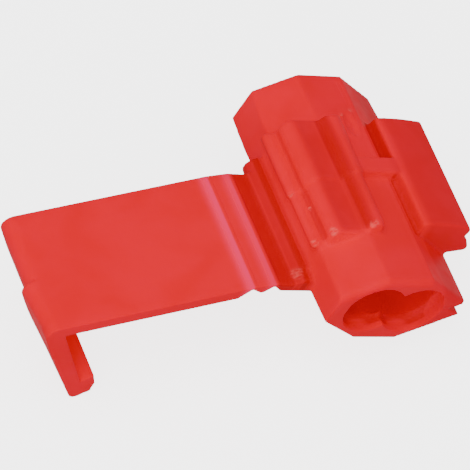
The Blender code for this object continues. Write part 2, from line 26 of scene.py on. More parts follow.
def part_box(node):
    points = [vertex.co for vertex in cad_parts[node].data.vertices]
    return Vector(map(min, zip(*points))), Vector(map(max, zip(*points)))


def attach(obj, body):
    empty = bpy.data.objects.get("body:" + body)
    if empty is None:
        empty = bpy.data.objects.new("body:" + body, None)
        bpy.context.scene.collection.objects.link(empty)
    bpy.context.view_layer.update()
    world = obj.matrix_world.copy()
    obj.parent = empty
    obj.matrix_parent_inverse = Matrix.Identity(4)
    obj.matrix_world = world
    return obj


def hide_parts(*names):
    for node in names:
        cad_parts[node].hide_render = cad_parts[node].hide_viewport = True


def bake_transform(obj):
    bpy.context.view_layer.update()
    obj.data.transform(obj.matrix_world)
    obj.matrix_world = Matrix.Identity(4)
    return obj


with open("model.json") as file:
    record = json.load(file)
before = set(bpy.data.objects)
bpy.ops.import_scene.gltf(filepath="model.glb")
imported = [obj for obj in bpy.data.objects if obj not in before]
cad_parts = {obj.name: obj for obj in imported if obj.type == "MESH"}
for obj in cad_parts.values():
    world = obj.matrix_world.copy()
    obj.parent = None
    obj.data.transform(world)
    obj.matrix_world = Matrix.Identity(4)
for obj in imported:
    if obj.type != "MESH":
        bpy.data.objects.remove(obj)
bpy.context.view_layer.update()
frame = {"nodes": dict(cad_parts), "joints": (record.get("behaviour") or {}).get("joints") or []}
LOG = logging.getLogger("connector")
MM = 0.001
WELD_GAP = 0.001 * MM
PHOTO_PIXELS = 470

Point = Sequence[float]
Colour = tuple[float, float, float, float]
Triple = tuple[float, float, float]
Pair = tuple[float, float]
Line = tuple[Sequence[Point], float]


class Slot(Enum):
    """Material slots that the redrawn pieces take their finish from."""

    PLASTIC = "red_plastic"


class Body(Enum):
    """Rigid bodies that the redrawn plastic rides on."""

    HOUSING = "housing"
    LINK = "hinge_link"
    COVER = "cover"


def joint(name: str) -> dict:
    """Find one joint of the record.

    Args:
        name: The joint's name.

    Returns:
        The joint as the record states it.
    """
    return next(item for item in frame["joints"] if item["name"] == name)


class OwnFrame:
    """Place of the connector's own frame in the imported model."""

    def __init__(self, hinge_x: float = -8.4, hinge_z: float = -1.33) -> None:
        """Work out the frame from the record's joints.

        Args:
            hinge_x: The first hinge's own X in millimetres.
            hinge_z: The first hinge's own Z in millimetres.
        """
        axis = joint("contact_press")["axis"]
        self.turn = math.atan2(axis[0], axis[2])
        rotation = Matrix.Rotation(self.turn, 4, "Y")
        hinge = rotation @ Vector((hinge_x * MM, 0, hinge_z * MM))
        origin = Vector(joint("link_hinge")["pos_m"]) - hinge
        origin.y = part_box("housing")[0].y
        self.matrix = Matrix.Translation(origin) @ rotation
        self.back = self.matrix.inverted()

    def place(self, point: Point) -> Vector:
        """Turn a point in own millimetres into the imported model's metres.

        Args:
            point: The point, in millimetres.

        Returns:
            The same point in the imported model.
        """
        return self.matrix @ (Vector(point) * MM)

    def hinge(self, name: str) -> Vector:
        """Return a hinge's place in own millimetres."""
        return self.back @ Vector(joint(name)["pos_m"]) / MM


OWN = OwnFrame()


@dataclass(frozen=True)
class Pattern:
    """A cloudy noise pattern.

    The scale is in features per unit of the coordinate, detail is the number of finer
    octaves, swirl is how far the pattern is distorted, and stretch scales the coordinate
    along each axis before all of this.
    """

    scale: float
    detail: float = 2.0
    swirl: float = 0.0
    stretch: Triple | None = None


class NodeSheet:
    """A small writer of shader node trees."""

    def __init__(self, name: str) -> None:
        """Start an empty material.

        Args:
            name: The material's name.
        """
        self.material = bpy.data.materials.new(name)
        self.material.use_nodes = True
        self.tree = self.material.node_tree
        self.shader = self.tree.nodes["Principled BSDF"]

    def add(self, kind: str, **settings: object) -> bpy.types.Node:
        """Add one node.

        Args:
            kind: The node's type name.
            settings: Properties to set on it.

        Returns:
            The new node.
        """
        node = self.tree.nodes.new(kind)
        for key, value in settings.items():
            setattr(node, key, value)
        return node

    def link(self, source: bpy.types.NodeSocket, target: bpy.types.NodeSocket) -> None:
        """Join an output to an input."""
        self.tree.links.new(source, target)

    def math(self, operation: str, first: object, second: object = 0.0) -> bpy.types.NodeSocket:
        """Add a math node.

        Args:
            operation: The operation's name.
            first: A socket or a number.
            second: A socket or a number.

        Returns:
            The result's socket.
        """
        node = self.add("ShaderNodeMath", operation=operation)
        for index, value in enumerate((first, second)):
            if isinstance(value, bpy.types.NodeSocket):
                self.link(value, node.inputs[index])
            else:
                node.inputs[index].default_value = value
        return node.outputs[0]

    def combined(self, operation: str,
                 values: Sequence[bpy.types.NodeSocket]) -> bpy.types.NodeSocket:
        """Combine several values by one math operation.

        Args:
            operation: The operation's name.
            values: The values' sockets.

        Returns:
            The result's socket.
        """
        total = values[0]
        for value in values[1:]:
            total = self.math(operation, total, value)
        return total

    def own_millimetres(self) -> bpy.types.NodeSocket:
        """Give the surface point in the connector's own millimetres.

        Returns:
            The vector socket.
        """
        coordinates = self.add("ShaderNodeTexCoord")
        mapping = self.add("ShaderNodeMapping")
        mapping.inputs["Scale"].default_value = (1 / MM,) * 3
        mapping.inputs["Rotation"].default_value = (0, -OWN.turn, 0)
        mapping.inputs["Location"].default_value = OWN.back.translation / MM
        self.link(coordinates.outputs["Object"], mapping.inputs["Vector"])
        return mapping.outputs["Vector"]

    def stretched(self, vector: bpy.types.NodeSocket, scale: Point) -> bpy.types.NodeSocket:
        """Scale a coordinate along its axes.

        Args:
            vector: The coordinate's socket.
            scale: The factor along each axis.

        Returns:
            The scaled vector's socket.
        """
        node = self.add("ShaderNodeVectorMath", operation="MULTIPLY")
        self.link(vector, node.inputs[0])
        node.inputs[1].default_value = scale
        return node.outputs["Vector"]

    def clouds(self, vector: bpy.types.NodeSocket, pattern: Pattern) -> bpy.types.NodeSocket:
        """Add a noise pattern.

        Args:
            vector: The coordinate's socket.
            pattern: The pattern.

        Returns:
            The value's socket, about 0 to 1.
        """
        if pattern.stretch is not None:
            vector = self.stretched(vector, pattern.stretch)
        node = self.add("ShaderNodeTexNoise")
        node.inputs["Scale"].default_value = pattern.scale
        node.inputs["Detail"].default_value = pattern.detail
        node.inputs["Distortion"].default_value = pattern.swirl
        self.link(vector, node.inputs["Vector"])
        return node.outputs["Fac"]

    def ramp(self, value: bpy.types.NodeSocket, low: float, high: float,
             bottom: float = 0.0, top: float = 1.0) -> bpy.types.NodeSocket:
        """Map a range of a value smoothly onto another.

        Args:
            value: The value's socket.
            low: Value that gives bottom.
            high: Value that gives top.
            bottom: Result at low.
            top: Result at high.

        Returns:
            The mapped value's socket.
        """
        node = self.add("ShaderNodeMapRange", interpolation_type="SMOOTHSTEP")
        self.link(value, node.inputs["Value"])
        ends = {"From Min": low, "From Max": high, "To Min": bottom, "To Max": top}
        for key, number in ends.items():
            node.inputs[key].default_value = number
        return node.outputs["Result"]

    def blend(self, share: object, first: object, second: object) -> bpy.types.NodeSocket:
        """Mix two colours.

        Args:
            share: Share of the second colour, as a socket or a number.
            first: The first colour, as a socket or numbers.
            second: The second colour, as a socket or numbers.

        Returns:
            The colour's socket.
        """
        node = self.add("ShaderNodeMix", data_type="RGBA")
        for key, value in (("Factor", share), ("A", first), ("B", second)):
            socket = [item for item in node.inputs if item.name == key and item.enabled][0]
            if isinstance(value, bpy.types.NodeSocket):
                self.link(value, socket)
            else:
                socket.default_value = value
        return [item for item in node.outputs if item.enabled][0]

    def relief(self, layers: Iterable[tuple[bpy.types.NodeSocket, float]]) -> None:
        """Stack heights into the shader's normal.

        Args:
            layers: Pairs of a height socket and its depth in millimetres.
        """
        below = None
        for height, depth in layers:
            node = self.add("ShaderNodeBump")
            node.inputs["Strength"].default_value = 1.0
            node.inputs["Distance"].default_value = depth * MM
            self.link(height, node.inputs["Height"])
            if below is not None:
                self.link(below, node.inputs["Normal"])
            below = node.outputs["Normal"]
        self.link(below, self.shader.inputs["Normal"])


@dataclass(frozen=True)
class ScuffAndHighlight:
    """A small pale rough spot, a real scuff where the mould dragged or pinched the plastic.

    The spots on the saddle ribs' near ends are painted highlights instead. The centre and radius
    are in own millimetres, and the core is the share of the radius that is pale in full.
    """

    centre: Triple
    radius: float
    strength: float = 1.0
    core: float = 0.5

    def share(self, sheet: NodeSheet, place: bpy.types.NodeSocket) -> bpy.types.NodeSocket:
        """Find how much of the spot shows at a surface point.

        Args:
            sheet: The node writer.
            place: The surface point in own millimetres.

        Returns:
            The share, full within the core and 0 outside the radius.
        """
        near = sheet.add("ShaderNodeVectorMath", operation="DISTANCE")
        sheet.link(place, near.inputs[0])
        near.inputs[1].default_value = self.centre
        full = self.radius * self.core
        return sheet.ramp(near.outputs["Value"], full, self.radius, self.strength, 0.0)


@dataclass(frozen=True)
class ShadeBand:
    """A soft-edged stretch of own X, in millimetres, where shade is painted as deeper red.

    It can be held above one height and below another, and along a stretch of own Y. Each
    of these limits fades over a width of its own.
    """

    start: float
    full_from: float
    full_to: float
    end: float
    strength: float
    above: float | None = None
    below: float | None = None
    along: Pair | None = None
    above_fade: float = 0.3
    below_fade: float = 0.5
    along_fade: float = 0.25

    def share(self, sheet: NodeSheet, split: bpy.types.Node) -> bpy.types.NodeSocket:
        """Find how much of the painted shade shows at a surface point.

        Args:
            sheet: The node writer.
            split: The surface point's parts, in own millimetres.

        Returns:
            The share, 0 outside the band.
        """
        across, along, height = (split.outputs[axis] for axis in "XYZ")
        parts = [
            sheet.ramp(across, self.start, self.full_from, 0.0, self.strength),
            sheet.ramp(across, self.full_to, self.end, 1.0, 0.0),
        ]
        if self.above is not None:
            parts.append(sheet.ramp(height, self.above, self.above + self.above_fade))
        if self.below is not None:
            parts.append(sheet.ramp(height, self.below, self.below + self.below_fade, 1.0, 0.0))
        if self.along is not None:
            near, far = self.along
            parts.append(sheet.ramp(along, near, near + self.along_fade))
            parts.append(sheet.ramp(along, far - self.along_fade, far, 1.0, 0.0))
        return sheet.combined("MULTIPLY", parts)


@dataclass(frozen=True)
class MouldedPlastic:
    """Satin red polypropylene with a painted glow, stronger where it is thin, and with painted
    shade and painted highlights.

    Widths and depths are in millimetres.
    """

    name: str = "moulded_red"
    colour: Colour = (0.9, 0.0, 0.02, 1)
    cloud_colour: Colour = (0.84, 0.0, 0.012, 1)
    # Painted shade: the deeper red in recesses and on walls turned from the light.
    painted_shade_colour: Colour = (0.5, 0.0, 0.004, 1)
    # Painted glow: the pink of light shining through the thin strap beside each living hinge.
    painted_glow_colour: Colour = (0.94, 0.012, 0.13, 1)
    # Pale spots: real scuffs and marks, and painted highlights on the saddle ribs' near ends.
    scuff_and_highlight_colour: Colour = (1.0, 0.13, 0.12, 1)
    painted_glow_tint: float = 0.75
    scuff_and_highlight_tint: float = 0.6
    # Painted glow: the surface colour is emitted everywhere, and more where the strap is thin.
    even_painted_glow: float = 0.22
    thin_painted_glow: float = 0.24
    thin_reach: float = 1.0
    thin_full: float = 0.05
    thin_fall: Pair = (-0.06, 0.1)
    thin_hinges: tuple[tuple[str, float], ...] = (("link_hinge", 0.7), ("cover_hinge", 1.0))
    roughness: Pair = (0.36, 0.5)
    clouding: Pattern = Pattern(0.22, 3.0, 0.6)
    cloud_range: Pair = (0.35, 0.7)
    smear: Pattern = Pattern(0.6, 4.0, 0.4, (0.5, 1.1, 2.0))
    smear_range: Pair = (0.3, 0.75)
    flow: Pattern = Pattern(0.45, 2.0, 0.8, (0.35, 1.0, 1.0))
    flow_depth: float = 0.04
    peel: Pattern = Pattern(5.0, 3.0)
    peel_depth: float = 0.0035
    grain: Pattern = Pattern(1.0, 3.0, 0.5, (2.2, 5.0, 2.2))
    grain_range: Pair = (0.36, 0.66)
    scuff_and_highlight_depth: float = 0.03
    glow: float = 0.35
    glow_depth: float = 1.2
    glow_spread: Triple = (1.0, 0.12, 0.1)
    refraction: float = 1.49
    gloss: float = 0.1
    gloss_tint: Colour = (1.0, 0.35, 0.36, 1)
    # Painted shade as deeper red: the strap root, bead and groove below the saddle, the saddle's
    # grooves, seat and rib foot, the wing's left wall, the right side and inside the bores.
    shade_bands: tuple[ShadeBand, ...] = (
        ShadeBand(-8.32, -8.0, -7.0, -6.5, 0.78, below=0.6),
        ShadeBand(-7.0, -6.6, -5.7, -5.3, 0.62, below=0.9),
        ShadeBand(-6.5, -6.15, -5.9, -5.6, 0.95, below=0.5),
        ShadeBand(-5.1, -4.3, -3.0, -2.6, 0.3, above=2.7, along=(4.5, 14.4)),
        ShadeBand(-5.4, -5.12, -4.95, -4.8, 0.5, above=1.2, below=1.85, along=(4.7, 14.3)),
        ShadeBand(-3.15, -2.75, -2.45, -1.9, 0.8, above=3.0, along=(4.5, 14.5)),
        ShadeBand(1.6, 2.0, 2.25, 2.5, 0.9, above=2.3, below=3.3, along=(9.2, 14.7)),
        ShadeBand(1.6, 2.0, 2.25, 2.5, 0.6, above=2.3, below=3.3, along=(4.4, 9.5)),
        ShadeBand(2.4, 3.2, 9.0, 10.0, 0.35),
        ShadeBand(-4.1, -3.95, 3.2, 3.4, 0.6, above=-2.3, below=1.45, along=(0.3, 18.3)),
    )
    # The first three spots, on the near ends of the saddle's ribs, are painted highlights; the
    # rest are real mould marks.
    scuffs_and_highlights: tuple[ScuffAndHighlight, ...] = (
        ScuffAndHighlight((-5.85, 4.75, 1.4), 0.42),
        ScuffAndHighlight((-5.1, 4.7, 2.75), 0.46),
        ScuffAndHighlight((-2.25, 4.55, 3.8), 0.46),
        ScuffAndHighlight((-6.5, 3.8, -0.8), 0.6, 0.6),
        ScuffAndHighlight((-5.9, 9.05, 1.3), 0.32),
        ScuffAndHighlight((-5.1, 7.6, 1.6), 0.2),
        ScuffAndHighlight((-0.1, 14.95, 3.1), 0.22),
        ScuffAndHighlight((0.9, 15.4, 3.1), 0.25),
    )

    def make(self) -> bpy.types.Material:
        """Build the material.

        Returns:
            The finished material.
        """
        sheet = NodeSheet(self.name)
        place = sheet.own_millimetres()
        split = sheet.add("ShaderNodeSeparateXYZ")
        sheet.link(place, split.inputs[0])
        cloud = sheet.ramp(sheet.clouds(place, self.clouding), *self.cloud_range)
        colour = sheet.blend(cloud, self.colour, self.cloud_colour)
        # Painted shade: deeper red in recesses and on walls turned from the light.
        colour = sheet.blend(self.painted_shade_share(sheet, split), colour, self.painted_shade_colour)
        # Painted glow: pinker where light would shine through the thin strap.
        thin = self.painted_glow_share(sheet, split)
        tint = sheet.math("MULTIPLY", thin, self.painted_glow_tint)
        colour = sheet.blend(tint, colour, self.painted_glow_colour)
        # Pale spots: real scuffs and marks, and painted highlights on the saddle ribs' near ends.
        scuff_and_highlight_mask = self.scuff_and_highlight_share(sheet, place)
        tint = sheet.math("MULTIPLY", scuff_and_highlight_mask, self.scuff_and_highlight_tint)
        colour = sheet.blend(tint, colour, self.scuff_and_highlight_colour)
        sheet.link(colour, sheet.shader.inputs["Base Color"])
        # Painted glow: the colour is also emitted, evenly everywhere and more where the strap is
        # thin.
        sheet.link(colour, sheet.shader.inputs["Emission Color"])
        painted_glow_strength = sheet.math("ADD", sheet.math("MULTIPLY", thin, self.thin_painted_glow), self.even_painted_glow)
        sheet.link(painted_glow_strength, sheet.shader.inputs["Emission Strength"])
        smear = sheet.clouds(place, self.smear)
        rough = sheet.ramp(smear, *self.smear_range, *self.roughness)
        sheet.link(rough, sheet.shader.inputs["Roughness"])
        flow = sheet.clouds(place, self.flow)
        peel = sheet.clouds(place, self.peel)
        sheet.relief((
            (flow, self.flow_depth), (peel, self.peel_depth), (scuff_and_highlight_mask, self.scuff_and_highlight_depth)))
        shader = sheet.shader
        shader.inputs["Subsurface Weight"].default_value = self.glow
        shader.inputs["Subsurface Radius"].default_value = self.glow_spread
        shader.inputs["Subsurface Scale"].default_value = self.glow_depth * MM
        shader.inputs["IOR"].default_value = self.refraction
        shader.inputs["Specular IOR Level"].default_value = self.gloss
        shader.inputs["Specular Tint"].default_value = self.gloss_tint
        return sheet.material

    def painted_glow_share(self, sheet: NodeSheet, split: bpy.types.Node) -> bpy.types.NodeSocket:
        """Find where a glow is painted beside each living hinge, where the strap's grooved
        underside is thin enough to let light through.

        Args:
            sheet: The node writer.
            split: The surface point's parts, in own millimetres.

        Returns:
            The share of the painted glow's colour, greatest at a living hinge.
        """
        across = split.outputs["X"]
        shares = []
        for name, strength in self.thin_hinges:
            line = OWN.hinge(name).x
            rise = sheet.ramp(across, line - self.thin_reach, line - self.thin_full, 0.0, strength)
            fall_from, fall_to = self.thin_fall
            fall = sheet.ramp(across, line + fall_from, line + fall_to, 1.0, 0.0)
            shares.append(sheet.math("MULTIPLY", rise, fall))
        return sheet.combined("MAXIMUM", shares)

    def painted_shade_share(self, sheet: NodeSheet, split: bpy.types.Node) -> bpy.types.NodeSocket:
        """Find where shade is painted as deeper red, in closed-in places and on walls turned from
        the light.

        Args:
            sheet: The node writer.
            split: The surface point's parts, in own millimetres.

        Returns:
            The share of the painted shade's colour.
        """
        return sheet.combined("MAXIMUM", [band.share(sheet, split) for band in self.shade_bands])

    def scuff_and_highlight_share(self, sheet: NodeSheet, place: bpy.types.NodeSocket) -> bpy.types.NodeSocket:
        """Find the pale rough spots, which are real scuffs and painted highlights.

        Args:
            sheet: The node writer.
            place: The surface point in own millimetres.

        Returns:
            The share of the pale spots' colour.
        """
        spots = sheet.combined("MAXIMUM", [pale_spot.share(sheet, place) for pale_spot in self.scuffs_and_highlights])
        grain = sheet.ramp(sheet.clouds(place, self.grain), *self.grain_range)
        return sheet.math("MULTIPLY", spots, grain)


@dataclass(frozen=True)
class PlatedStrip:
    """Bright tin over brass strip, with the brass showing faintly in patches."""

    name: str = "tin_plate"
    tin: Colour = (0.78, 0.77, 0.74, 1)
    brass: Colour = (0.72, 0.56, 0.28, 1)
    clouding: Pattern = Pattern(1.3, 4.0, 0.3)
    cloud_depth: float = 0.006
    brass_range: Pair = (0.58, 0.8)
    brass_share: float = 0.45
    rolling: Pattern = Pattern(1.0, 3.0, stretch=(12.0, 0.5, 0.8))
    rolling_range: Pair = (0.3, 0.7)
    rolling_depth: float = 0.004
    roughness: Pair = (0.2, 0.42)

    def make(self) -> bpy.types.Material:
        """Build the material.

        Returns:
            The finished material.
        """
        sheet = NodeSheet(self.name)
        place = sheet.own_millimetres()
        cloud = sheet.clouds(place, self.clouding)
        worn = sheet.ramp(cloud, *self.brass_range, 0.0, self.brass_share)
        colour = sheet.blend(worn, self.tin, self.brass)
        sheet.link(colour, sheet.shader.inputs["Base Color"])
        rolled = sheet.clouds(place, self.rolling)
        rough = sheet.ramp(rolled, *self.rolling_range, *self.roughness)
        sheet.link(rough, sheet.shader.inputs["Roughness"])
        sheet.relief(((rolled, self.rolling_depth), (cloud, self.cloud_depth)))
        sheet.shader.inputs["Metallic"].default_value = 1.0
        return sheet.material


@dataclass(frozen=True)
class TableTop:
    """Plain pale light table with a faint unevenness."""

    name: str = "pale_table"
    colour: Colour = (0.93, 0.93, 0.93, 1)
    glow_colour: Colour = (1, 1, 1, 1)
    clouding: Pattern = Pattern(3.0)
    shade: float = 0.985
    roughness: float = 0.6
    glow: float = 3.6

    def make(self) -> bpy.types.Material:
        """Build the material.

        Returns:
            The finished material.
        """
        sheet = NodeSheet(self.name)
        coordinates = sheet.add("ShaderNodeTexCoord")
        cloud = sheet.clouds(coordinates.outputs["Object"], self.clouding)
        shaded = tuple(channel * self.shade for channel in self.colour[:3]) + (1,)
        sheet.link(sheet.blend(cloud, self.colour, shaded), sheet.shader.inputs["Base Color"])
        sheet.shader.inputs["Roughness"].default_value = self.roughness
        sheet.shader.inputs["Emission Color"].default_value = self.glow_colour
        sheet.shader.inputs["Emission Strength"].default_value = self.glow
        return sheet.material


def mesh_object(name: str, shape: bmesh.types.BMesh,
                finish: bpy.types.Material) -> bpy.types.Object:
    """Put a bmesh into a new smooth-shaded object.

    Args:
        name: The object's name.
        shape: The shape, which is freed.
        finish: The material.

    Returns:
        The new object.
    """
    bmesh.ops.recalc_face_normals(shape, faces=shape.faces)
    mesh = bpy.data.meshes.new(name)
    shape.to_mesh(mesh)
    shape.free()
    for polygon in mesh.polygons:
        polygon.use_smooth = True
    mesh.materials.append(finish)
    item = bpy.data.objects.new(name, mesh)
    bpy.context.scene.collection.objects.link(item)
    return item


def close_tube(shape: bmesh.types.BMesh,
               rings: Sequence[Sequence[bmesh.types.BMVert]]) -> None:
    """Join rings of points into one closed tube with flat ends.

    Args:
        shape: The shape that holds the points.
        rings: The rings in order, each with the same number of points.
    """
    for lower, upper in zip(rings, rings[1:]):
        for index in range(len(lower)):
            after = (index + 1) % len(lower)
            shape.faces.new((lower[index], lower[after], upper[after], upper[index]))
    shape.faces.new(rings[0])
    shape.faces.new(rings[-1])


def apply_modifiers(item: bpy.types.Object) -> None:
    """Turn an object's modifiers into its mesh.

    Args:
        item: The object.
    """
    graph = bpy.context.evaluated_depsgraph_get()
    result = bpy.data.meshes.new_from_object(item.evaluated_get(graph))
    item.modifiers.clear()
    spent = item.data
    item.data = result
    bpy.data.meshes.remove(spent)


@dataclass(frozen=True)
class GateScar:
    """The rough shallow oval where the plastic was fed in and broken off.

    Sizes are in own millimetres. A reach is a share of the oval's half width or half
    length: the pit's wall rises over wall_reach up to pit_reach, and the lip stands between
    there and lip_reach.
    """

    centre: Pair = (0.38, 14.1)
    half_width: float = 0.55
    half_length: float = 1.2
    lowest: float = 2.6
    depth: float = 0.15
    lip: float = 0.05
    wall_reach: float = 0.3
    pit_reach: float = 0.85
    lip_reach: float = 1.3
    unevenness: float = 0.7
    grain: float = 2.6

    def push(self, point: Vector) -> float:
        """Find how far a point of the moulding is pushed out.

        Args:
            point: The point, in own millimetres.

        Returns:
            The push along the surface's normal in millimetres, negative inwards.
        """
        if point.z < self.lowest:
            return 0.0
        across = (point.x - self.centre[0]) / self.half_width
        along = (point.y - self.centre[1]) / self.half_length
        reach = math.hypot(across, along)
        if reach > self.lip_reach:
            return 0.0
        rough = 1 + self.unevenness * noise.noise(point * self.grain)
        if reach < self.pit_reach:
            return -self.depth * min(1.0, (self.pit_reach - reach) / self.wall_reach) * rough
        lip_share = (reach - self.pit_reach) / (self.lip_reach - self.pit_reach)
        return self.lip * math.sin(math.pi * lip_share) * rough


@dataclass
class SoftMoulding:
    """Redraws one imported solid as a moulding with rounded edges.

    The voxel and the distance that the skin is drawn in are in millimetres.
    """

    node: str
    body: Body
    finish: bpy.types.Material
    voxel: float = 0.1
    softness: float = 0.5
    passes: int = 4
    most_faces: int = 92000
    scars: tuple[GateScar, ...] = ()
    drawn_in: float = 0.02

    def build(self) -> bpy.types.Object:
        """Weld, round and place the moulding.

        Returns:
            The finished piece, riding on its body.
        """
        shape = bmesh.new()
        shape.from_mesh(frame["nodes"][self.node].data)
        bmesh.ops.remove_doubles(shape, verts=shape.verts, dist=WELD_GAP)
        to_own = Matrix.Scale(1 / MM, 4) @ OWN.back
        shape.transform(to_own)
        item = mesh_object(self.node + "_moulding", shape, self.finish)
        remesh = item.modifiers.new("weld", "REMESH")
        remesh.mode = "VOXEL"
        remesh.voxel_size = self.voxel
        remesh.adaptivity = 0.0
        smooth = item.modifiers.new("round", "SMOOTH")
        smooth.factor = self.softness
        smooth.iterations = self.passes
        apply_modifiers(item)
        count = len(item.data.polygons)
        if count > self.most_faces:
            thin = item.modifiers.new("thin", "DECIMATE")
            thin.ratio = self.most_faces / count
            apply_modifiers(item)
        moves = []
        for vertex in item.data.vertices:
            push = sum(scar.push(vertex.co) for scar in self.scars) - self.drawn_in
            moves.append(vertex.co + vertex.normal * push)
        for vertex, place in zip(item.data.vertices, moves):
            vertex.co = place
        item.data.transform(to_own.inverted())
        for polygon in item.data.polygons:
            polygon.use_smooth = True
        if not item.data.materials:
            item.data.materials.append(self.finish)
        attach(item, self.body.value)
        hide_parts(self.node)
        return item


@dataclass
class FlashLines:
    """Thin raised lines of plastic where the mould's halves met.

    A ridge is a tube of short steps, in millimetres, that lies partly sunk in the surface.
    It narrows to its end size over the last rings, and its size wanders along its length.
    """

    carrier: bpy.types.Object
    body: Body
    finish: bpy.types.Material
    step: float = 0.12
    sides: int = 6
    end_rings: int = 3
    end_size: float = 0.15
    unevenness: float = 0.35
    waves: float = 1.7
    sunk: float = 0.45

    def surface(self) -> BVHTree:
        """Make a search tree of the carrier's surface.

        Returns:
            The tree.
        """
        shape = bmesh.new()
        shape.from_mesh(self.carrier.data)
        tree = BVHTree.FromBMesh(shape)
        shape.free()
        return tree

    def path(self, points: Sequence[Point]) -> list[Vector]:
        """Divide a line into short steps.

        Args:
            points: The line's corners, in own millimetres.

        Returns:
            The places along the line, its last corner included.
        """
        places = []
        for first, second in zip(points, points[1:]):
            run = Vector(second) - Vector(first)
            count = max(2, round(run.length / self.step))
            places += [Vector(first) + run * (index / count) for index in range(count)]
        return places + [Vector(points[-1])]

    def ridge(self, shape: bmesh.types.BMesh, tree: BVHTree, points: Sequence[Point],
              radius: float) -> None:
        """Lay one ridge along a line on the surface.

        Args:
            shape: The shape that gets the ridge.
            tree: The carrier's surface.
            points: The line's corners, in own millimetres.
            radius: The ridge's radius in millimetres.
        """
        path = self.path(points)
        last = len(path) - 1
        rings = []
        for index, point in enumerate(path):
            spot, normal, _, _ = tree.find_nearest(OWN.place(point))
            before, after = path[max(index - 1, 0)], path[min(index + 1, last)]
            ahead = OWN.place(after) - OWN.place(before)
            along = (ahead - normal * ahead.dot(normal)).normalized()
            side = along.cross(normal)
            ends = min(1.0, min(index, last - index) / self.end_rings + self.end_size)
            size = radius * MM * ends * (1 + self.unevenness * noise.noise(point * self.waves))
            centre = spot - normal * size * self.sunk
            ring = []
            for turn in range(self.sides):
                angle = 2 * math.pi * turn / self.sides
                across = centre + side * size * math.cos(angle)
                ring.append(shape.verts.new(across + normal * size * math.sin(angle)))
            rings.append(ring)
        close_tube(shape, rings)

    def build(self, name: str, lines: Sequence[Line]) -> bpy.types.Object:
        """Build a group of ridges as one piece.

        Args:
            name: The piece's name.
            lines: Pairs of a line's corners and its radius, in millimetres.

        Returns:
            The finished piece, riding on its body.
        """
        tree = self.surface()
        shape = bmesh.new()
        for points, radius in lines:
            self.ridge(shape, tree, points, radius)
        item = mesh_object(name, shape, self.finish)
        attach(item, self.body.value)
        return item


@dataclass
class LivingHinge:
    """The thin bendable web that ties two rigid stretches of the strap.

    The strap slopes by the first angle, in degrees, on the web's inner side and by the
    second on its outer side. Sizes are in millimetres. The web's two ends are rounded by
    drawing its cross section in, by no more than a share of its thickness. The bend share
    is not used.
    bends over a share of its reach on each side of the hinge.
    """

    joint_name: str
    inner: Body
    outer: Body
    falls: Pair
    finish: bpy.types.Material
    thickness: float = 0.33
    reach: float = 0.34
    inset: float = 0.006
    end_round: float = 0.12
    end_steps: tuple[float, ...] = (0.0, 0.2, 0.5, 1.0)
    most_drawn: float = 0.45
    bend_share: float = 0.5
    strap_near: float = 2.95
    strap_width: float = 9.8
    width_steps: int = 20
    steps: int = 16

    def spot(self, axis: Vector, share: float, lift: float) -> Pair:
        """Find a point of the web's section.

        Args:
            axis: The hinge's place in own millimetres.
            share: Place along the web, 1 at the inner body and -1 at the outer one.
            lift: Height above the web's underside in millimetres.

        Returns:
            The point's own X and Z in millimetres.
        """
        inner, outer = (math.radians(fall) for fall in self.falls)
        fall = inner if share > 0 else outer
        lean = inner * (1 + share) / 2 + outer * (1 - share) / 2
        along = self.reach * share
        return (axis.x + along * math.cos(fall) - lift * math.sin(lean),
                axis.z + along * math.sin(fall) + lift * math.cos(lean))

    def slices(self) -> list[Pair]:
        """Place the cross sections along the hinge.

        Returns:
            Pairs of a section's distance from the strap's near edge and how much it is
            drawn in.
        """
        limit = self.thickness * self.most_drawn
        near = []
        for share in self.end_steps:
            drawn = self.end_round * (1 - math.sqrt(1 - (1 - share) ** 2))
            near.append((self.inset + self.end_round * share, min(drawn, limit)))
        whole, count = self.strap_width, self.width_steps
        middle = [(whole * index / count, 0.0) for index in range(1, count)]
        return near + middle + [(whole - place, drawn) for place, drawn in reversed(near)]

    def build(self) -> bpy.types.Object:
        """Build the web between its two bodies.

        Returns:
            The finished piece.
        """
        axis = OWN.hinge(self.joint_name)
        shares = [1 - 2 * index / self.steps for index in range(self.steps + 1)]
        shape = bmesh.new()
        rings = []
        for place, drawn in self.slices():
            low = self.inset + drawn
            high = self.thickness - self.inset - drawn
            top = [self.spot(axis, share, high) for share in shares]
            under = [self.spot(axis, share, low) for share in reversed(shares)]
            y = self.strap_near + place
            rings.append([shape.verts.new(OWN.place((x, y, z))) for x, z in top + under])
        close_tube(shape, rings)
        item = mesh_object(self.joint_name + "_web", shape, self.finish)
        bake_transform(item)
        return item


@dataclass
class Contact:
    """The forked metal contact, kept as packed with its edges broken.

    The edge's width is in millimetres, and the angle that counts as sharp in degrees.
    """

    finish: bpy.types.Material
    edge: float = 0.05
    edge_steps: int = 3
    sharp_angle: float = 30.0

    def dress(self) -> bpy.types.Object:
        """Round the edges and set the finish.

        Returns:
            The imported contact.
        """
        item = frame["nodes"]["contact"]
        weld = item.modifiers.new("weld", "WELD")
        weld.merge_threshold = WELD_GAP
        bevel = item.modifiers.new("edge", "BEVEL")
        bevel.width = self.edge * MM
        bevel.segments = self.edge_steps
        bevel.limit_method = "ANGLE"
        bevel.angle_limit = math.radians(self.sharp_angle)
        bevel.harden_normals = False
        for slot in item.material_slots:
            slot.material = self.finish
        return item


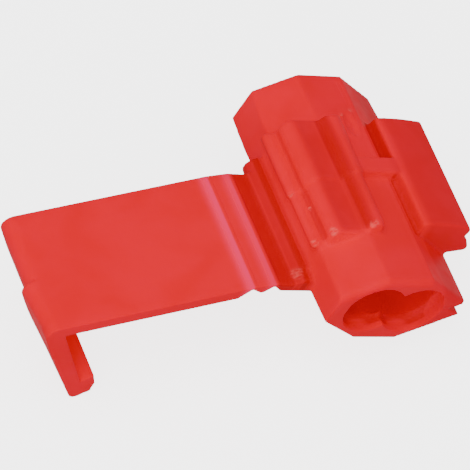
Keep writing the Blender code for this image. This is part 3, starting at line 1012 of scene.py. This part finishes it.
@dataclass
class Housing:
    """The bored body with its ribbed saddle, wing, bead and strap root.

    Places are in own millimetres: the mould's seam and the saddle's far end along Y, and
    the top flat and the root's ridge in height.
    """

    finish: bpy.types.Material
    seam_y: float = 9.05
    saddle_far: float = 14.4
    top_z: float = 3.1
    ridge_z: float = -1.0

    def saddle_lines(self) -> list[Line]:
        """Place the flash along the side rib's far half and the pinch marks beside it.

        Returns:
            The lines.
        """
        seam = self.seam_y
        flash = [(-6.15, self.saddle_far, 1.02), (-6.16, 10.9, 0.98), (-6.1, seam + 0.05, 0.88)]
        second = [(-6.13, seam + 1.15, 1.2), (-6.08, seam + 0.25, 1.28)]
        pinch = [(-6.0, seam - 0.02, 1.18), (-5.74, seam - 0.05, 1.52)]
        nick = [(-5.17, 7.7, 1.56), (-4.98, 7.4, 1.62)]
        drag = [(-5.2, 6.8, 2.46), (-5.17, 6.4, 2.6), (-5.1, 6.05, 2.72)]
        return [(flash, 0.035), (second, 0.022), (pinch, 0.06), (nick, 0.03), (drag, 0.022)]

    def root_lines(self) -> list[Line]:
        """Place the fine ridge beside the first living hinge and the bead end's marks.

        Returns:
            The lines.
        """
        bends = ((-8.12, 12.2), (-8.1, 8.0), (-7.98, 5.2), (-7.86, 3.9))
        ridge = [(x, y, self.ridge_z) for x, y in bends]
        marks = [
            [(-6.62, 4.05, -0.85), (-6.1, 4.1, -0.45)],
            [(-6.76, 3.83, -0.91), (-6.4, 3.69, -0.71)],
            [(-6.73, 3.57, -0.89), (-6.49, 3.39, -0.78)],
        ]
        return [(ridge, 0.035)] + [(mark, 0.028) for mark in marks]

    def top_lines(self) -> list[Line]:
        """Place the double parting line that runs from the far mouth to the gate scar.

        Returns:
            The lines.
        """
        left = ((0.75, 18.2), (0.8, 17.0), (0.83, 16.0), (0.78, 15.2))
        right = ((1.08, 18.2), (1.15, 17.0), (1.2, 16.2), (1.08, 15.1), (0.95, 13.8))
        lines = ((left, 0.028), (right, 0.03))
        return [([(x, y, self.top_z) for x, y in bends], radius) for bends, radius in lines]

    def build(self) -> list[bpy.types.Object]:
        """Build the housing and its flash lines.

        Returns:
            The pieces.
        """
        moulding = SoftMoulding("housing", Body.HOUSING, self.finish, scars=(GateScar(),)).build()
        lines = FlashLines(moulding, Body.HOUSING, self.finish)
        return [
            moulding,
            lines.build("saddle_flash", self.saddle_lines()),
            lines.build("root_flash", self.root_lines()),
            lines.build("top_flash", self.top_lines()),
        ]


@dataclass
class Strap:
    """The link and the cover with its hook, and the two webs that carry them.

    The falls are in degrees, and the voxels in millimetres.
    """

    finish: bpy.types.Material
    root_fall: float = 0.0
    link_fall: float = 13.0
    cover_fall: float = 20.0
    link_voxel: float = 0.06
    cover_voxel: float = 0.08

    def build(self) -> list[bpy.types.Object]:
        """Build the strap's pieces.

        Returns:
            The pieces.
        """
        first = (self.root_fall, self.link_fall)
        second = (self.link_fall, self.cover_fall)
        return [
            SoftMoulding("hinge_link", Body.LINK, self.finish, voxel=self.link_voxel).build(),
            SoftMoulding("cover", Body.COVER, self.finish, voxel=self.cover_voxel).build(),
            LivingHinge("link_hinge", Body.HOUSING, Body.LINK, first, self.finish).build(),
            LivingHinge("cover_hinge", Body.LINK, Body.COVER, second, self.finish).build(),
        ]


@dataclass(frozen=True)
class SoftLight:
    """One square light that faces the connector.

    The azimuth is in degrees round the connector, 0 on the -Y side and 90 on the +X side,
    and the elevation in degrees above the table. Size and distance are in metres, and
    power is in watts.
    """

    name: str
    azimuth: float
    elevation: float
    size: float
    power: float
    distance: float = 0.35

    def hang(self) -> None:
        """Put the light into the scene."""
        data = bpy.data.lights.new(self.name, "AREA")
        data.shape = "SQUARE"
        data.size = self.size
        data.energy = self.power
        item = bpy.data.objects.new(self.name, data)
        turn, lift = math.radians(self.azimuth), math.radians(self.elevation)
        level = math.cos(lift)
        back = Vector((math.sin(turn) * level, -math.cos(turn) * level, math.sin(lift)))
        item.location = back * self.distance
        item.rotation_mode = "QUATERNION"
        item.rotation_quaternion = (-back).to_track_quat("-Z", "Y")
        bpy.context.scene.collection.objects.link(item)


@dataclass
class Studio:
    """Pale table, soft lights and the camera.

    The camera's turn is the rotation vector from the connector's own frame to the
    camera's, which looks along its own +Z with +Y down. The axis pixel is where the own
    frame's origin lies in the photograph, and the distance to it is in millimetres. The
    table's size and the clip distances are in metres, and the sensor's width is in
    millimetres.
    """

    table_size: float = 3.0
    table_cells: int = 8
    camera_turn: Triple = (2.37756, -0.26257, 0.79985)
    axis_pixel: Pair = (398.11152, 311.02657)
    focal_pixels: float = 4640.6
    distance: float = 319.49
    sensor_width: float = 36.0
    clip: Pair = (0.01, 20.0)
    room_colour: Colour = (1, 1, 1, 1)
    room_light: float = 0.42
    lights: tuple[SoftLight, ...] = (
        SoftLight("overhead", -60, 76, 0.3, 0.8),
        SoftLight("near_fill", -34, 20, 0.3, 0.55),
    )

    def table(self) -> None:
        """Lay the table under the connector."""
        shape = bmesh.new()
        bmesh.ops.create_grid(
            shape, x_segments=self.table_cells, y_segments=self.table_cells,
            size=self.table_size / 2)
        item = mesh_object("table_top", shape, TableTop().make())
        item.visible_glossy = False
        item.visible_diffuse = False

    def camera(self) -> None:
        """Set the camera where the photograph was taken from."""
        turn = Vector(self.camera_turn)
        rows = Matrix.Rotation(turn.length, 3, turn.normalized())
        right, down, ahead = (Vector(rows[index]) for index in range(3))
        spot = -ahead * self.distance
        centre = PHOTO_PIXELS / 2
        offset = [(centre - pixel) / self.focal_pixels for pixel in self.axis_pixel]
        aim = ahead + right * offset[0] + down * offset[1]
        stretch = aim.length
        aim.normalize()
        side = (right - aim * right.dot(aim)).normalized()
        up = side.cross(aim)
        pose = Matrix((side, up, -aim)).transposed().to_4x4()
        pose.translation = spot * MM
        data = bpy.data.cameras.new("camera")
        data.sensor_width = self.sensor_width
        data.lens = self.focal_pixels * stretch / PHOTO_PIXELS * self.sensor_width
        data.clip_start, data.clip_end = self.clip
        item = bpy.data.objects.new("camera", data)
        item.matrix_world = OWN.matrix @ pose
        bpy.context.scene.collection.objects.link(item)
        bpy.context.scene.camera = item

    def room(self) -> None:
        """Fill the room with even pale light."""
        world = bpy.data.worlds.new("room")
        world.use_nodes = True
        background = world.node_tree.nodes["Background"]
        background.inputs["Color"].default_value = self.room_colour
        background.inputs["Strength"].default_value = self.room_light
        bpy.context.scene.world = world

    def build(self) -> None:
        """Build the table, camera, room and lights."""
        self.table()
        self.camera()
        self.room()
        for light in self.lights:
            light.hang()


def main() -> None:
    """Dress the connector and set up the studio."""
    logging.basicConfig(level=logging.INFO, format="%(message)s")
    plastic = MouldedPlastic().make()
    Studio().build()
    made = Housing(plastic).build() + Strap(plastic).build()
    made.append(Contact(PlatedStrip().make()).dress())
    for item in made:
        LOG.info("%s: %d faces", item.name, len(item.data.polygons))


if __name__ == "__main__":
    main()
